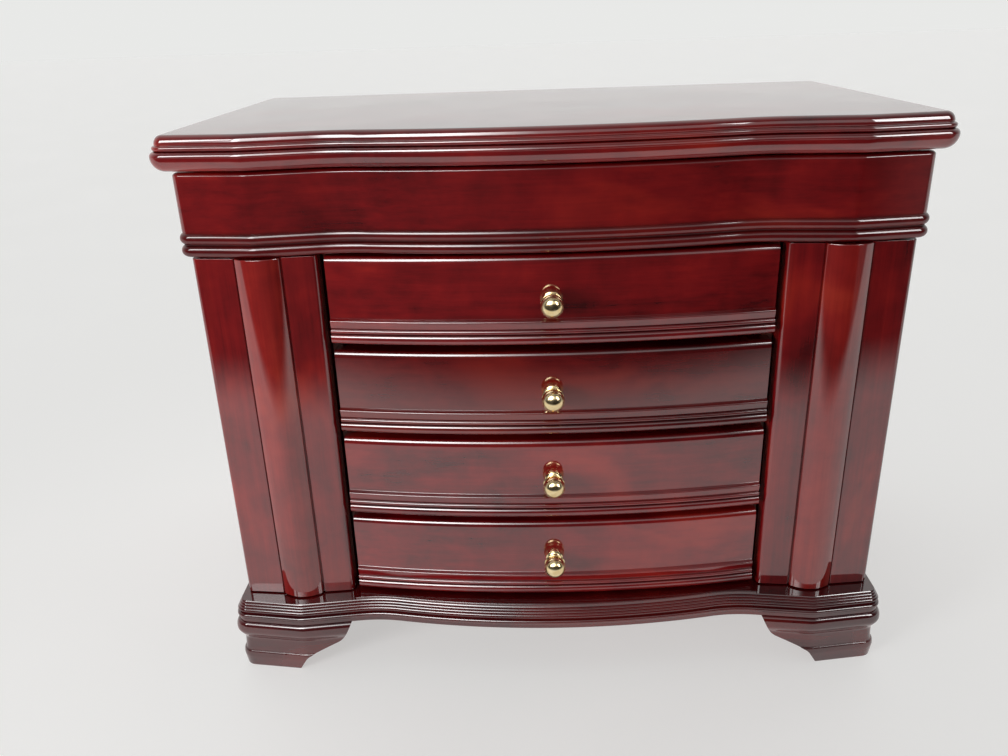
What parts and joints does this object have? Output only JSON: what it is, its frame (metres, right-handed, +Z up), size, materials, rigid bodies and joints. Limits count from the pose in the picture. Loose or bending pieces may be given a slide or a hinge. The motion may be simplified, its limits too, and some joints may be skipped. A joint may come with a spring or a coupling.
{
  "type": "jewelry chest",
  "caption": "Bow-front jewelry chest with a hinged lid over a tray, sliding drawers with ball knobs, columned swing-out necklace doors and bracket feet.",
  "frame": {"origin": "on the floor, under the middle of the closed chest's bounding box", "axes": "+X along the front to the viewer's right, +Y to the back (the front faces -Y), +Z up"},
  "size_m": [0.3542, 0.2167, 0.2821],
  "materials": {
    "lacquer": "gloss",
    "column_lacquer": "gloss",
    "inside_wood": "satin",
    "velvet": "velvet",
    "brass": "polished",
    "steel": "brushed",
    "mirror": "polished"
  },
  "bodies": {
    "case": {"base_board": "lacquer", "floor_board": "lacquer", "front_feet": "lacquer", "rear_feet": "lacquer", "rear_stiles": "lacquer", "partitions": "inside_wood", "back_panel": "inside_wood", "drawer_runners": "inside_wood", "tray_front": "lacquer", "tray_sides": "lacquer", "tray_back": "lacquer", "tray_floor": "inside_wood", "tray_lining": "velvet", "tray_dividers": "inside_wood", "ring_rolls": "velvet", "lid_hinge_case_leaves": "brass", "door_hinge_case_leaves": "brass", "hinge_pins": "steel", "catch_magnets": "steel"},
    "lid": {"lid_panel": "lacquer", "mirror_frame": "lacquer", "mirror": "mirror", "lid_hinge_lid_leaves": "brass"},
    "left_door": {"left_side_panel": "lacquer", "left_post": "lacquer", "left_column": "column_lacquer", "left_hook_rail": "inside_wood", "left_hooks": "brass", "left_pocket": "velvet", "left_hinge_leaves": "brass", "left_catch_plate": "steel"},
    "right_door": {"right_side_panel": "lacquer", "right_post": "lacquer", "right_column": "column_lacquer", "right_hook_rail": "inside_wood", "right_hooks": "brass", "right_pocket": "velvet", "right_hinge_leaves": "brass", "right_catch_plate": "steel"},
    "drawer_1": {"drawer_1_front": "lacquer", "drawer_1_box": "inside_wood", "drawer_1_bottom": "inside_wood", "drawer_1_lining": "velvet", "drawer_1_knob": "brass"},
    "drawer_2": {"drawer_2_front": "lacquer", "drawer_2_box": "inside_wood", "drawer_2_bottom": "inside_wood", "drawer_2_lining": "velvet", "drawer_2_knob": "brass"},
    "drawer_3": {"drawer_3_front": "lacquer", "drawer_3_box": "inside_wood", "drawer_3_bottom": "inside_wood", "drawer_3_lining": "velvet", "drawer_3_knob": "brass"},
    "drawer_4": {"drawer_4_front": "lacquer", "drawer_4_box": "inside_wood", "drawer_4_bottom": "inside_wood", "drawer_4_lining": "velvet", "drawer_4_knob": "brass"}
  },
  "joints": [
    {"name": "lid_hinge", "type": "hinge", "parent": "case", "child": "lid", "pos_m": [0, 0.10615, 0.2659], "axis": [-1, 0, 0], "range_deg": [0, 95]},
    {"name": "left_door_hinge", "type": "hinge", "parent": "case", "child": "left_door", "pos_m": [-0.1686, 0.0902, 0.1339], "axis": [0, 0, -1], "range_deg": [0, 100]},
    {"name": "right_door_hinge", "type": "hinge", "parent": "case", "child": "right_door", "pos_m": [0.1686, 0.0902, 0.1339], "axis": [0, 0, 1], "range_deg": [0, 100]},
    {"name": "drawer_1_slide", "type": "slide", "parent": "case", "child": "drawer_1", "axis": [0, -1, 0], "range_m": [0, 0.11]},
    {"name": "drawer_2_slide", "type": "slide", "parent": "case", "child": "drawer_2", "axis": [0, -1, 0], "range_m": [0, 0.11]},
    {"name": "drawer_3_slide", "type": "slide", "parent": "case", "child": "drawer_3", "axis": [0, -1, 0], "range_m": [0, 0.11]},
    {"name": "drawer_4_slide", "type": "slide", "parent": "case", "child": "drawer_4", "axis": [0, -1, 0], "range_m": [0, 0.11]}
  ]
}
